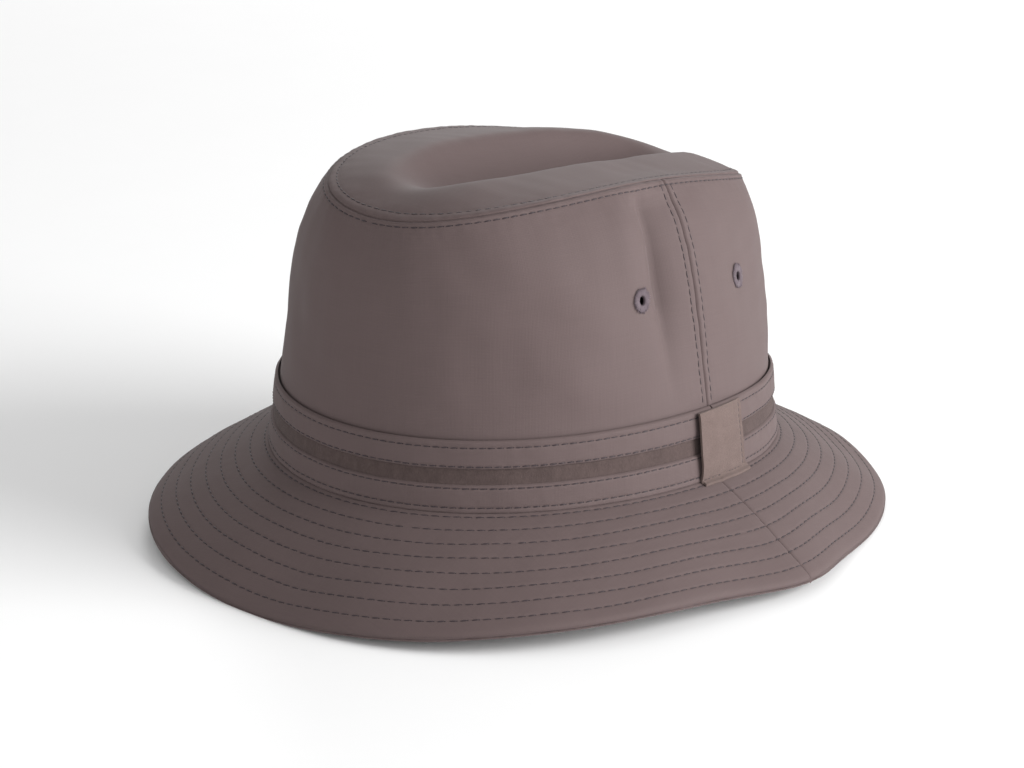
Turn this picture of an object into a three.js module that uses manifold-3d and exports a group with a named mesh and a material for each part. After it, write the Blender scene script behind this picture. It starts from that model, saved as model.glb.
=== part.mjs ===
// A soft fabric hat with a creased crown and a stitched, turned-down brim, built up in layers the way it is sewn:
// shell, tapes, lining and sweatband round the crown, hatband and label tab outside it, and a three-layer brim.
// Millimetres, +Z up. The wearer's face is towards -Y and the wearer's left is +X.
import * as THREE from "three";
import { mergeVertices } from "three/addons/utils/BufferGeometryUtils.js";
import Module from "manifold-3d";

const wasm = await Module();
wasm.setup();

// Driving dimensions of the shell's outer face.
const BASE = { halfLength: 102.7, halfWidth: 86, squareness: 2.03, dip: -2.1 };
const TIP = { halfLength: 90.6, halfWidth: 54.8, squareness: 2.42, shift: 0.6, height: 98.3 };
const TIP_WAVES = [4, -6.9, -0.4]; // once, twice and three times round: higher in front and over the ears
const EDGE = { halfLength: 145.7, halfWidth: 123.2, squareness: 2.3, shift: 1, height: -25.4 };
const EDGE_WAVES = [-4.3, -1.1, -3.25]; // once, twice and three times round: down in front, up behind
const EDGE_CORNER = { out: 7, spread: THREE.MathUtils.degToRad(11) }; // where the brim's side seams push it out
const BRIM_FALL = 0.8; // share of the brim's fall that is even; the rest steepens towards the edge
const DOME = { height: 9.9, roundness: 2.4, ends: 0.62 }; // the tip without its crease
const CREASE = { floor: 86.9, halfLength: 76, halfWidth: 24.9, shift: 9.2, wall: 13.9, rounding: 2.4 };
const CREASE_STEEPNESS = 2.24;
const BRIM_UNDER_CROWN = -0.15; // where the brim's inner edge is, as a share
const WALL = { lean: 0.57, leanBehind: 0.145, shoulder: 7.3 };
const REST_TILT = THREE.MathUtils.degToRad(-2.05); // the brim stands on its front and its two back corners

const GAP = 0.3; // between touching layers
const BASE_GAP = 0.4; // between the crown's layers and the brim under them
const SHELL = [-0.8, 0];
const SEAM_TAPE = [-1.8, -1.3];
const LINING = [-2.8, -2.3];
const TIP_LINING = [-4.3, -3.7]; // hangs a little slack under the crease
const SWEATBAND = [-4.1, -3.2];
const LABEL_IN_SWEATBAND = [-4.9, -4.4];
const BAND_TAPE = [0.3, 0.8];
const BAND_STRIP = [1.1, 1.8];
const LABEL_TAB = [2.3, 3.1];
const BRIM_TOP = [-0.7, 0];
const BRIM_STIFFENER = [-1.8, -1];
const BRIM_UNDER = [-2.8, -2.1];

const BAND_HEIGHT = 25.5;
const BAND_WINDOW = [9.6, 15.4]; // the tape shows between the strips from here to here
const SWEATBAND_HEIGHT = 32;
const TAPE_WIDTH = 12;
const BASE_TAPE_HEIGHT = 8;
const TAB = { width: 22.5, behindSeam: 2.6, rise: [0.5, 25] };
const EYELET = { outer: 4.3, hole: 1.5, rise: 67, fromSeam: 26 };
const STIFFENER_INSET = 0.03; // share of the brim's width left for the turned edge

const LEFT = Math.PI / 2; // angles run from the front, 0, round the wearer's left
const BACK = Math.PI;
const RIGHT = (3 * Math.PI) / 2;

const mix = THREE.MathUtils.lerp;

// A rounded oval in plan: the point at an angle from the front.
function oval(halfLength, halfWidth, squareness, shift, angle) {
  const s = Math.sin(angle);
  const c = Math.cos(angle);
  const reach = (Math.abs(s) ** squareness + Math.abs(c) ** squareness) ** (-1 / squareness);
  return new THREE.Vector3(halfWidth * s * reach, shift - halfLength * c * reach, 0);
}

// The line where the crown meets the brim.
function baseLine(angle, inset = 0) {
  const p = oval(BASE.halfLength - inset, BASE.halfWidth - inset, BASE.squareness, 0, angle);
  return p.setZ(BASE.dip * Math.cos(2 * angle));
}

// The tip seam's rise and fall, fading towards the middle of the tip.
function tipLevel(angle, share) {
  return TIP_WAVES.reduce((sum, size, i) => sum + size * Math.cos((i + 1) * angle) * share ** (i + 1), 0);
}

// The seam between the crown's sides and its tip.
function tipLine(angle) {
  const p = oval(TIP.halfLength, TIP.halfWidth, TIP.squareness, TIP.shift, angle);
  return p.setZ(TIP.height + tipLevel(angle, 1));
}

// The brim's outer edge.
function edgeLine(angle) {
  const p = oval(EDGE.halfLength, EDGE.halfWidth, EDGE.squareness, EDGE.shift, angle);
  const fromSeam = Math.abs(Math.abs(Math.atan2(Math.sin(angle), Math.cos(angle))) - LEFT);
  p.x += Math.sign(p.x) * EDGE_CORNER.out * Math.exp(-((fromSeam / EDGE_CORNER.spread) ** 2));
  const waves = EDGE_WAVES.reduce((sum, size, i) => sum + size * Math.cos((i + 1) * angle), 0);
  return p.setZ(EDGE.height + waves);
}

// The way a layer is stacked: straight out low on the wall, leaning up to the mitre at the tip seam.
function outwards(angle, share) {
  const lean = 0.9 * share ** 4;
  return new THREE.Vector3(Math.sin(angle), -Math.cos(angle), lean).normalize();
}

// The crown's side: share runs from 0 at the base to 1 at the tip seam.
function wallPoint(angle, share, layer) {
  const low = baseLine(angle);
  const high = tipLine(angle);
  const lean = WALL.lean - WALL.leanBehind * Math.cos(angle);
  const inward = lean * share + (1 - lean) * share ** WALL.shoulder;
  const p = new THREE.Vector3(
    mix(low.x, high.x, inward),
    mix(low.y, high.y, inward),
    mix(low.z, high.z, share),
  );
  return p.addScaledVector(outwards(angle, share), layer);
}

const wallHeight = (angle) => tipLine(angle).z - baseLine(angle).z;
const risePoint = (angle, rise, layer) => wallPoint(angle, rise / wallHeight(angle), layer);

// The crown's tip: a low dome with a long crease pressed into it. Share runs from 0 at the middle to 1 at the seam.
function tipPoint(angle, share, layer) {
  const seam = tipLine(angle);
  const p = new THREE.Vector3(seam.x * share, TIP.shift + (seam.y - TIP.shift) * share, 0);
  const swell = DOME.height * (1 - share ** DOME.roundness);
  const dome = TIP.height + tipLevel(angle, share) + swell * (1 + DOME.ends * share ** 2 * Math.cos(2 * angle));
  const across = p.x / CREASE.halfWidth;
  const along = (p.y - CREASE.shift) / CREASE.halfLength;
  const bowl = CREASE.floor + CREASE.wall * (across ** 2 + along ** 2) ** CREASE_STEEPNESS;
  const k = CREASE.rounding;
  p.z = -k * Math.log(Math.exp(-dome / k) + Math.exp(-bowl / k)); // the lower of the two, with a round ridge
  const upright = Math.min(1, (1 - share) / 0.2);
  const way = outwards(angle, 1).lerp(new THREE.Vector3(0, 0, 1), upright).normalize();
  return p.addScaledVector(way, layer);
}

// The brim: share runs from 0 at the hatband's foot to 1 at the edge, and below 0 it is flat, in under the crown.
function brimPoint(angle, share, layer) {
  const foot = baseLine(angle, -BAND_STRIP[1]);
  if (share < 0) {
    const inner = baseLine(angle, -SWEATBAND[0]);
    return foot.lerp(inner, share / BRIM_UNDER_CROWN).setZ(inner.z + layer);
  }
  const far = edgeLine(angle);
  const fall = BRIM_FALL * share + (1 - BRIM_FALL) * share ** 2;
  return new THREE.Vector3(
    mix(foot.x, far.x, share),
    mix(foot.y, far.y, share),
    mix(foot.z, far.z, fall) + layer,
  );
}

// A cloth panel: a flat block of length, width and thickness whose corners go where place puts them.
function panel(along, across, layers, steps, place) {
  const geometry = new THREE.BoxGeometry(1, 1, 1, steps[0], steps[1], 1);
  const at = geometry.attributes.position;
  for (let i = 0; i < at.count; i++) {
    const a = mix(along[0], along[1], at.getX(i) + 0.5);
    const b = mix(across[0], across[1], at.getY(i) + 0.5);
    const t = mix(layers[0], layers[1], at.getZ(i) + 0.5);
    const p = place(a, b, t);
    at.setXYZ(i, p.x, p.y, p.z);
  }
  return facingOut(geometry);
}

// A panel of the crown's wall, with its rows closer together up where the wall turns in.
function wallPanel(span, rows, layers, steps) {
  const row = (u) => mix(rows[0], rows[1], 1 - (1 - u) ** 1.9);
  return panel(span, [0, 1], layers, steps, (angle, u, layer) => wallPoint(angle, row(u), layer));
}

// A round cloth: a turned disc of unit radius, laid over the tip.
function disc(reach, layers, steps, rings) {
  const profile = [];
  for (let i = 0; i <= rings; i++) {
    profile.push(new THREE.Vector2((i / rings) * reach, layers[0]));
  }
  for (let i = rings; i >= 0; i--) {
    profile.push(new THREE.Vector2((i / rings) * reach, layers[1]));
  }
  const geometry = new THREE.LatheGeometry(profile, steps);
  const at = geometry.attributes.position;
  for (let i = 0; i < at.count; i++) {
    const angle = Math.atan2(at.getX(i), at.getZ(i));
    const p = tipPoint(angle, Math.hypot(at.getX(i), at.getZ(i)), at.getY(i));
    at.setXYZ(i, p.x, p.y, p.z);
  }
  return facingOut(geometry);
}

// Joins the corners that meet, and turns the faces if the shape came out inside out.
function facingOut(geometry) {
  geometry.deleteAttribute("normal");
  geometry.deleteAttribute("uv");
  const merged = mergeVertices(geometry, 1e-3);
  const corners = merged.attributes.position;
  const index = Array.from(merged.index.array);
  const kept = [];
  let volume = 0;
  const [a, b, c] = [0, 1, 2].map(() => new THREE.Vector3());
  for (let i = 0; i < index.length; i += 3) {
    const [j, k, l] = index.slice(i, i + 3);
    if (j === k || k === l || l === j) continue;
    kept.push(j, k, l);
    a.fromBufferAttribute(corners, j);
    b.fromBufferAttribute(corners, k);
    c.fromBufferAttribute(corners, l);
    volume += a.dot(b.cross(c));
  }
  if (volume < 0) {
    for (let i = 0; i < kept.length; i += 3) {
      [kept[i + 1], kept[i + 2]] = [kept[i + 2], kept[i + 1]];
    }
  }
  merged.setIndex(kept);
  return merged;
}

function toSolid(geometry) {
  const merged = facingOut(geometry);
  return new wasm.Manifold(
    new wasm.Mesh({
      numProp: 3,
      vertProperties: merged.attributes.position.array,
      triVerts: new Uint32Array(merged.index.array),
    }),
  );
}

function fromSolid(solid) {
  const mesh = solid.getMesh();
  const geometry = new THREE.BufferGeometry();
  geometry.setAttribute("position", new THREE.BufferAttribute(Float32Array.from(mesh.vertProperties), 3));
  geometry.setIndex(new THREE.BufferAttribute(Uint32Array.from(mesh.triVerts), 1));
  return geometry;
}

const COLOURS = {
  shell: new THREE.MeshStandardMaterial({ color: 0x7d6c6b, roughness: 0.75, metalness: 0 }),
  ribbon: new THREE.MeshStandardMaterial({ color: 0x6b5f55, roughness: 0.95, metalness: 0 }),
  tab: new THREE.MeshStandardMaterial({ color: 0x94857f, roughness: 0.95, metalness: 0 }),
  thread: new THREE.MeshStandardMaterial({ color: 0x8d8188, roughness: 0.6, metalness: 0 }),
  lining: new THREE.MeshStandardMaterial({ color: 0x5e5656, roughness: 0.5, metalness: 0 }),
  sweatband: new THREE.MeshStandardMaterial({ color: 0x4f4746, roughness: 0.8, metalness: 0 }),
  tape: new THREE.MeshStandardMaterial({ color: 0x6a6260, roughness: 0.85, metalness: 0 }),
  stiffener: new THREE.MeshStandardMaterial({ color: 0xd8d4cc, roughness: 0.9, metalness: 0 }),
};

const hat = new THREE.Group();

function add(name, material, geometry) {
  const mesh = new THREE.Mesh(geometry, material);
  mesh.name = name;
  hat.add(mesh);
}

// The angle that an arc of the base line, in millimetres, takes up at the side or the back.
const arcAngle = (length, angle) => length / Math.hypot(baseLine(angle).x, baseLine(angle).y);

// The two places where panels meet over the ears, each with half a gap to either side.
const seamAngle = arcAngle(GAP / 2, LEFT);
const FRONT_SPAN = [-LEFT + seamAngle, LEFT - seamAngle];
const BACK_SPAN = [LEFT + seamAngle, RIGHT - seamAngle];

// Crown shell, with a punched hole for each eyelet.
const wallStart = BASE_GAP / wallHeight(0);
const wallEnd = 1 - GAP / wallHeight(0);
const eyeletPlaces = {
  left_front: LEFT - arcAngle(EYELET.fromSeam, LEFT),
  left_back: LEFT + arcAngle(EYELET.fromSeam, LEFT),
  right_front: RIGHT + arcAngle(EYELET.fromSeam, LEFT),
  right_back: RIGHT - arcAngle(EYELET.fromSeam, LEFT),
};

// A plug along the wall's own way out at an eyelet, for the hole and for the ring that fills it.
function placeEyelet(geometry, angle) {
  const centre = risePoint(angle, EYELET.rise, (SHELL[0] + SHELL[1]) / 2);
  const up = risePoint(angle, EYELET.rise + 1, 0).sub(risePoint(angle, EYELET.rise - 1, 0)).normalize();
  const round = risePoint(angle + 0.01, EYELET.rise, 0).sub(risePoint(angle - 0.01, EYELET.rise, 0));
  const out = round.cross(up).normalize();
  const turn = new THREE.Quaternion().setFromUnitVectors(new THREE.Vector3(0, 1, 0), out);
  return geometry.applyQuaternion(turn).translate(centre.x, centre.y, centre.z);
}

function crownSide(span, places) {
  const cloth = wallPanel(span, [wallStart, wallEnd], SHELL, [30, 10]);
  const holes = places.map((name) =>
    toSolid(placeEyelet(new THREE.CylinderGeometry(EYELET.outer + GAP, EYELET.outer + GAP, 12, 16), eyeletPlaces[name])),
  );
  return fromSolid(holes.reduce((solid, hole) => solid.subtract(hole), toSolid(cloth)));
}

add("crown_side_front", COLOURS.shell, crownSide(FRONT_SPAN, ["left_front", "right_front"]));
add("crown_side_back", COLOURS.shell, crownSide(BACK_SPAN, ["left_back", "right_back"]));
add("crown_tip", COLOURS.shell, disc(1 - GAP / TIP.halfWidth, SHELL, 56, 12));

for (const [name, angle] of Object.entries(eyeletPlaces)) {
  const half = 0.7;
  const section = [
    new THREE.Vector2(EYELET.hole, -half),
    new THREE.Vector2(EYELET.outer - 0.5, -half),
    new THREE.Vector2(EYELET.outer, 0),
    new THREE.Vector2(EYELET.outer - 0.5, half),
    new THREE.Vector2(EYELET.hole, half),
    new THREE.Vector2(EYELET.hole, -half),
  ];
  add("eyelet_" + name, COLOURS.thread, facingOut(placeEyelet(new THREE.LatheGeometry(section, 16), angle)));
}

// Tapes and lining inside the crown. The side tapes start above the tape round the base.
const tapeAngle = arcAngle(TAPE_WIDTH / 2, LEFT);
for (const [name, seam] of [["left", LEFT], ["right", RIGHT]]) {
  const span = [seam - tapeAngle, seam + tapeAngle];
  add("side_seam_tape_" + name, COLOURS.tape, wallPanel(span, [0.1, 0.93], SEAM_TAPE, [3, 10]));
}
const backJoin = arcAngle(GAP, BACK);
const ROUND_FROM_BACK = [-BACK + backJoin, BACK - backJoin];
add(
  "base_seam_tape",
  COLOURS.tape,
  panel(ROUND_FROM_BACK, [BASE_GAP, BASE_TAPE_HEIGHT], SEAM_TAPE, [48, 1], risePoint),
);
add("lining_side_front", COLOURS.lining, wallPanel(FRONT_SPAN, [wallStart, 0.96], LINING, [30, 10]));
add("lining_side_back", COLOURS.lining, wallPanel(BACK_SPAN, [wallStart, 0.96], LINING, [30, 10]));
add("lining_tip", COLOURS.lining, disc(0.96, TIP_LINING, 48, 12));

// Sweatband: one strip, its ends meeting behind, with a tape over the join and the size label beside it.
add(
  "sweatband",
  COLOURS.sweatband,
  panel(ROUND_FROM_BACK, [BASE_GAP, SWEATBAND_HEIGHT], SWEATBAND, [56, 2], risePoint),
);
const joinAngle = arcAngle(5, BACK);
add(
  "sweatband_join_tape",
  COLOURS.tape,
  panel([BACK - joinAngle, BACK + joinAngle], [1, SWEATBAND_HEIGHT - 1], LABEL_IN_SWEATBAND, [2, 2], risePoint),
);
const labelAngle = arcAngle(14, BACK);
add(
  "size_label",
  COLOURS.tab,
  panel([BACK + 1.6 * labelAngle, BACK + 2.6 * labelAngle], [5, 25], LABEL_IN_SWEATBAND, [3, 2], risePoint),
);

// Hatband: a ribbon tape with a folded strip over its upper and lower part. The ends meet under the label tab.
const bandJoin = arcAngle(GAP, LEFT);
const ROUND_FROM_LEFT = [LEFT + bandJoin, LEFT + 2 * Math.PI - bandJoin];
for (const [name, material, rise, layers] of [
  ["hatband_tape", COLOURS.ribbon, [1.5, BAND_HEIGHT - 1.5], BAND_TAPE],
  ["hatband_lower_strip", COLOURS.shell, [BASE_GAP, BAND_WINDOW[0]], BAND_STRIP],
  ["hatband_upper_strip", COLOURS.shell, [BAND_WINDOW[1], BAND_HEIGHT], BAND_STRIP],
]) {
  add(name, material, panel(ROUND_FROM_LEFT, rise, layers, [56, 1], risePoint));
}
const tabSpan = [-1, 1].map((side) => LEFT + arcAngle(TAB.behindSeam + (side * TAB.width) / 2, LEFT));
add("label_tab", COLOURS.tab, panel(tabSpan, TAB.rise, LABEL_TAB, [4, 4], risePoint));

// Brim: top cloth, stiffener and under cloth, each in a front and a back piece joined over the ears.
for (const [half, span] of [["front", FRONT_SPAN], ["back", BACK_SPAN]]) {
  add("brim_top_" + half, COLOURS.shell, panel(span, [BRIM_UNDER_CROWN, 1], BRIM_TOP, [32, 5], brimPoint));
  const reach = [BRIM_UNDER_CROWN, 1 - STIFFENER_INSET];
  add("brim_stiffener_" + half, COLOURS.stiffener, panel(span, reach, BRIM_STIFFENER, [32, 5], brimPoint));
  add("brim_under_" + half, COLOURS.shell, panel(span, [BRIM_UNDER_CROWN, 1], BRIM_UNDER, [32, 5], brimPoint));
}

// Stood on its brim, with the origin under the middle of its box.
hat.rotation.x = REST_TILT;
hat.updateMatrixWorld(true);
const box = new THREE.Box3().setFromObject(hat, true);
hat.position.set(-(box.min.x + box.max.x) / 2, -(box.min.y + box.max.y) / 2, -box.min.z);

export default hat;
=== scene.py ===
"""A soft fabric hat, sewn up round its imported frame: shell, hatband, label tab, eyelets, stitched brim and lining."""

import math
import random

import bmesh
import bpy
import numpy as np
from bpy.props import FloatProperty, FloatVectorProperty, IntProperty, PointerProperty
from mathutils import Matrix, Vector


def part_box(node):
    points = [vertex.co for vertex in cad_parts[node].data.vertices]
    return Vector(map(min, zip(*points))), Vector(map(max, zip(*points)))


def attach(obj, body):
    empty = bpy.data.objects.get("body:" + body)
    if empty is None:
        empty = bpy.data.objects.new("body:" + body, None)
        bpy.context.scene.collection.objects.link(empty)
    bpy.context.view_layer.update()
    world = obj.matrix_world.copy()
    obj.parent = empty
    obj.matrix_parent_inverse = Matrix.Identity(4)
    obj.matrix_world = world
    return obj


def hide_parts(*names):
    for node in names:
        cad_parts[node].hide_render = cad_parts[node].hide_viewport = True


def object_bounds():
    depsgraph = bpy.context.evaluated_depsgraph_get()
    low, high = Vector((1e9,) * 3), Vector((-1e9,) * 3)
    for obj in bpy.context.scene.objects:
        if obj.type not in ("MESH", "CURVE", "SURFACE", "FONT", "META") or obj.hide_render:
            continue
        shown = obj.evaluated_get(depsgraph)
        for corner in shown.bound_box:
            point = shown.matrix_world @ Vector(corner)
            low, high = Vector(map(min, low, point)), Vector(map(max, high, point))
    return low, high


bl_info = {
    "name": "Stitched fabric hat",
    "version": (1, 0, 0),
    "blender": (4, 5, 0),
    "location": "View3D > Sidebar > Hat",
    "description": "Sews a creased-crown fabric hat with a stitched brim round its frame",
    "category": "Add Mesh",
}

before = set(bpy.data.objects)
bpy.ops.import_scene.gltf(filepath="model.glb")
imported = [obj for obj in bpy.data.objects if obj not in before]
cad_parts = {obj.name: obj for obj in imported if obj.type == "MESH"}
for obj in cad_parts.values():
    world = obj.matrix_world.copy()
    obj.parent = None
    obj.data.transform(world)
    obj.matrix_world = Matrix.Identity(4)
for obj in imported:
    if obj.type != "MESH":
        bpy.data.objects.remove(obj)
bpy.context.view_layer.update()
BODY = "root"
MM = 0.001

# The hat's own shape, in millimetres and radians: front towards -Y, wearer's left towards +X, and zero at the
# hatband's foot. An oval is its half length, half width and squareness. Waves are what once, twice and three times
# round the hat add to a height.
LEFT, BACK, RIGHT = math.pi / 2, math.pi, 1.5 * math.pi
BASE = (102.7, 86.0, 2.03)
BASE_DIP = -2.1
TIP = (90.6, 54.8, 2.42)
TIP_SHIFT, TIP_HEIGHT = 0.6, 98.3
TIP_WAVES = (4.0, -6.9, -0.4)
# The tip swells behind, on the wearer's right: height, angle and spread.
BACK_RISE = (2.2, math.radians(203), math.radians(30))
EDGE = (145.7, 123.2, 2.3)
EDGE_SHIFT, EDGE_HEIGHT = 1.0, -25.4
EDGE_WAVES = (-4.3, -1.1, -3.25)
EDGE_CORNER, EDGE_CORNER_SPREAD = 7.0, math.radians(11)
BRIM_FALL = 0.8
DOME_HEIGHT, DOME_ROUNDNESS, DOME_ENDS = 9.9, 2.9, 0.62
CREASE_FLOOR, CREASE_WALL, CREASE_STEEPNESS, CREASE_ROUNDING = 86.9, 13.9, 2.24, 2.4
CREASE_HALF_LENGTH, CREASE_HALF_WIDTH, CREASE_SHIFT = 76.0, 24.9, 9.2
# Towards its soft side the crease narrows by a share, and its slope and its edge ease.
CREASE_SOFT_SIDE = math.radians(-60)
CREASE_NARROWS, CREASE_EASES, CREASE_ROUNDS = 0.11, 0.85, 3.2
WALL_LEAN, WALL_LEAN_BEHIND, WALL_SHOULDER = 0.57, 0.145, 7.3
SEAM_LIFT, SEAM_LIFT_REACH = 0.9, 0.2
REST_TILT = math.radians(-2.05)

# Layers, as distances out from the shell's face, in millimetres: (inner, outer).
SHELL = (-0.8, 0.0)
SEAM_TAPE = (-1.8, -1.3)
LINING = (-2.8, -2.3)
TIP_LINING = (-4.3, -3.7)
SWEATBAND = (-4.1, -3.2)
SWEATBAND_LABEL = (-4.9, -4.4)
BAND_TAPE = (0.2, 0.9)
BAND_STRIP = (0.9, 1.9)
BRIM_TOP = (-0.9, 0.0)
BRIM_STIFFENER = (-1.8, -1.0)
BRIM_UNDER = (-2.8, -1.9)
TAB = (2.1, 3.0)
TAB_FOOT = (0.25, 1.15)

# Where the sewing runs, in millimetres from a seam or edge, or as shares of the brim's width.
BRIM_ROWS = (0.03, 0.152, 0.277, 0.397, 0.522, 0.648, 0.77, 0.893)
BRIM_WIDTH = 51.0
TIP_TOPSTITCH, WALL_TOPSTITCH, SIDE_TOPSTITCH = 3.5, 1.9, 2.1
BAND_ROWS = (23.0, 16.4, 8.7, 1.9)
BAND_FOOT = -0.35
SWEATBAND_ROW = 2.6
TAB_ROW_BEHIND, TAB_ROW_LOW = 1.3, 0.9
# How long a stitch is, and the tab's pitch, in metres.
CROWN_STITCH, BRIM_STITCH, TAB_STITCH, TAB_PITCH = 0.0023, 0.0026, 0.0015, 0.0021

# What sewing does to the cloth, in millimetres: a ridge is its height and where it starts and ends its fall, and a
# groove its depth and half width.
WALL_RIDGE, SIDE_RIDGE, TIP_RIDGE, BRIM_RIDGE = (0.16, 1.8, 3.4), (0.14, 1.6, 3.0), (0.16, 2.4, 4.4), (0.1, 4.5, 7)
TIP_GROOVE, SIDE_GROOVE, BRIM_GROOVE = (0.75, 0.42), (0.6, 0.34), (0.4, 0.4)
CROWN_ROW, BRIM_ROW, BAND_ROW, TAB_ROW = (0.2, 0.4), (0.2, 0.5), (0.2, 0.45), (0.3, 0.5)
PUCKER, PUCKER_BY_SIDE, PUCKER_BY_TIP = 0.07, 6, 7
STRIP_ROLL, STRIP_ROLL_REACH = 0.85, 0.9
EDGE_ROLL_TOP, EDGE_ROLL_UNDER, EDGE_ROLL_REACH = 1.25, 1.15, 2.2

# Mean radii: where the wall's cloth is measured flat, where its folds are, and at the brim's foot and edge.
CUT_RADIUS, CUT_HEIGHT = 92, 100
FOLD_RADIUS = 80
BRIM_RADII = (88, 128)
# The wall's folds fade in over this rise, above the hatband, and out over this share below the tip seam.
FOLDS_FROM, FOLDS_END = (24, 42), 0.07
CRUMPLE_DEPTH, RUMPLE_DEPTH = 0.28, 0.1
# Soft folds in the crown's wall: angle in degrees, rise, half width, half height, depth, and lean of the fold.
FOLDS = (
    (70.5, 86, 5, 15, 1.1, 0.05),
    (58, 50, 16, 34, 1.1, 0.0),
    (36, 58, 15, 30, -0.8, 0.0),
    (100, 60, 9, 30, 0.5, 0.0),
    (128, 46, 14, 38, 0.9, 0.0),
    (163, 50, 15, 30, 0.8, 0.0),
    (200, 58, 12, 28, -0.9, 0.03),
    (238, 52, 13, 28, 0.8, 0.0),
    (279, 60, 7, 32, -1.5, -0.05),
    (305, 54, 14, 32, 1.1, 0.0),
    (330, 48, 16, 26, -0.7, 0.0),
)
# The one sharp fold, just ahead of the left side seam: angle, rise, half height, depth, and how far its slopes reach
# before and behind it.
SHARP_FOLD = (80.0, 76, 34, 7.6, 3.9, 7.8)

# The tab's middle stands behind the left side seam; its rise runs from the brim up over the hatband.
TAB_BEHIND_SEAM, TAB_RISE, TAB_STANDS_OFF = 3.4, (-0.2, 25.0), 1.1
TAB_FOOT_RUN = (-0.6, 3.0)
LABEL_RISE = (5, 25)
EYELET_FROM_SEAM, EYELET_RISE_FRONT, EYELET_RISE_BACK = 26, 67.5, 66
# The gaps that panels leave at the side seams, and strips at their joins.
SEAM_GAP, JOIN_GAP = 0.03, 0.3

# The stage, in metres and watts: a lamp is its name, place, side and power.
LAMPS = (
    ("key_softbox", (1.42, 0.6, 0.6), 1.1, 44),
    ("front_fill", (0.4, -1.8, 0.5), 1.2, 8),
    ("back_rim", (-1.6, 1.9, 1.3), 0.9, 22),
)
LAMPS_FACE = (0, 0, 0.07)
DAYLIGHT = 0.52
FLOOR_HALF_WIDTH = 6
AZIMUTH, ELEVATION, ROLL = math.radians(38.6), math.radians(17.63), math.radians(2.79)
CAMERA_DISTANCE_MM, LENS, SENSOR = 1070.0, 100.05, 36
LENS_SHIFT = (-0.01465, 0.0418)


def length_property(name, description, default):
    return FloatProperty(name=name, description=description, default=default, unit="LENGTH")


def colour_property(name, description, default):
    return FloatVectorProperty(
        name=name, description=description, default=default, size=3, subtype="COLOR", min=0, max=1
    )


class HatSizes(bpy.types.PropertyGroup):
    """The sizes that a maker would change."""

    band_height: length_property("Hatband height", "From the brim to the upper strip's fold", 0.0255)
    window_low: length_property("Ribbon from", "Where the ribbon starts to show above the lower strip", 0.0099)
    window_high: length_property("Ribbon to", "Where the upper strip starts to cover the ribbon", 0.0154)
    tab_width: length_property("Label tab width", "Round the hat", 0.0225)
    eyelet_radius: length_property("Eyelet radius", "To the outside of the embroidery", 0.0043)
    eyelet_hole: length_property("Eyelet hole", "Radius of the hole", 0.0015)
    eyelet_threads: IntProperty(name="Eyelet threads", description="Satin stitches round one eyelet", default=38)
    brim_pitch: length_property("Brim stitch pitch", "From one stitch to the next on the brim", 0.0038)
    seam_pitch: length_property("Topstitch pitch", "From one stitch to the next on the crown and hatband", 0.0032)
    thread: length_property("Thread thickness", "Of the topstitching", 0.00055)
    sweatband_height: length_property("Sweatband height", "From the brim to its free edge", 0.032)


class HatColours(bpy.types.PropertyGroup):
    """The colours that a maker would change."""

    shell: colour_property("Shell", "Crown, brim and hatband strips", (0.109, 0.0785, 0.077))
    ribbon: colour_property("Ribbon", "The tape that shows in the hatband", (0.074, 0.053, 0.05))
    tab: colour_property("Label tab", "Suede tab on the hatband", (0.125, 0.091, 0.083))
    # The thread's default is well darker than the shell: partly the thread's own tone, partly painted shade for where
    # the stitches sink into the cloth and turn from the light.
    thread: colour_property("Thread", "Topstitching", (0.036, 0.025, 0.029))
    eyelet: colour_property("Eyelet thread", "Embroidery round the eyelets", (0.115, 0.086, 0.1))
    lining: colour_property("Lining", "Inside of the crown", (0.085, 0.07, 0.07))
    sweatband: colour_property("Sweatband", "Band against the forehead", (0.07, 0.057, 0.056))
    tape: colour_property("Seam tape", "Tapes over the seams inside", (0.14, 0.12, 0.117))
    stiffener: colour_property("Stiffener", "Inside the brim", (0.68, 0.65, 0.6))


# ---- Shape ---------------------------------------------------------------------------------------------------------


def oval(half_length, half_width, squareness, shift, angle):
    s, c = np.sin(angle), np.cos(angle)
    reach = (np.abs(s) ** squareness + np.abs(c) ** squareness) ** (-1 / squareness)
    return np.stack([half_width * s * reach, shift - half_length * c * reach, np.zeros_like(reach)], -1)


def around(angle, centre):
    return np.arctan2(np.sin(angle - centre), np.cos(angle - centre))


def mix(low, high, share):
    return low + (high - low) * share


def base_line(angle, inset=0.0):
    p = oval(BASE[0] - inset, BASE[1] - inset, BASE[2], 0, angle)
    p[..., 2] = BASE_DIP * np.cos(2 * angle)
    return p


def tip_level(angle, share):
    height, at, width = BACK_RISE
    swell = height * np.exp(-((around(angle, at) / width) ** 2)) * share**2
    return swell + sum(size * np.cos((i + 1) * angle) * share ** (i + 1) for i, size in enumerate(TIP_WAVES))


def tip_line(angle):
    p = oval(*TIP, TIP_SHIFT, angle)
    p[..., 2] = TIP_HEIGHT + tip_level(angle, 1)
    return p


def edge_line(angle):
    p = oval(*EDGE, EDGE_SHIFT, angle)
    from_seam = np.abs(np.abs(np.arctan2(np.sin(angle), np.cos(angle))) - LEFT)
    p[..., 0] += np.sign(p[..., 0]) * EDGE_CORNER * np.exp(-((from_seam / EDGE_CORNER_SPREAD) ** 2))
    p[..., 2] = EDGE_HEIGHT + sum(size * np.cos((i + 1) * angle) for i, size in enumerate(EDGE_WAVES))
    return p


def outwards(angle, share):
    """The way out from the wall, which lifts towards the tip seam."""
    way = np.stack([np.sin(angle), -np.cos(angle), SEAM_LIFT * np.maximum(share, 0) ** 4 + 0 * angle], -1)
    return way / np.linalg.norm(way, axis=-1, keepdims=True)


def wall_height(angle):
    return tip_line(angle)[..., 2] - base_line(angle)[..., 2]


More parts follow.
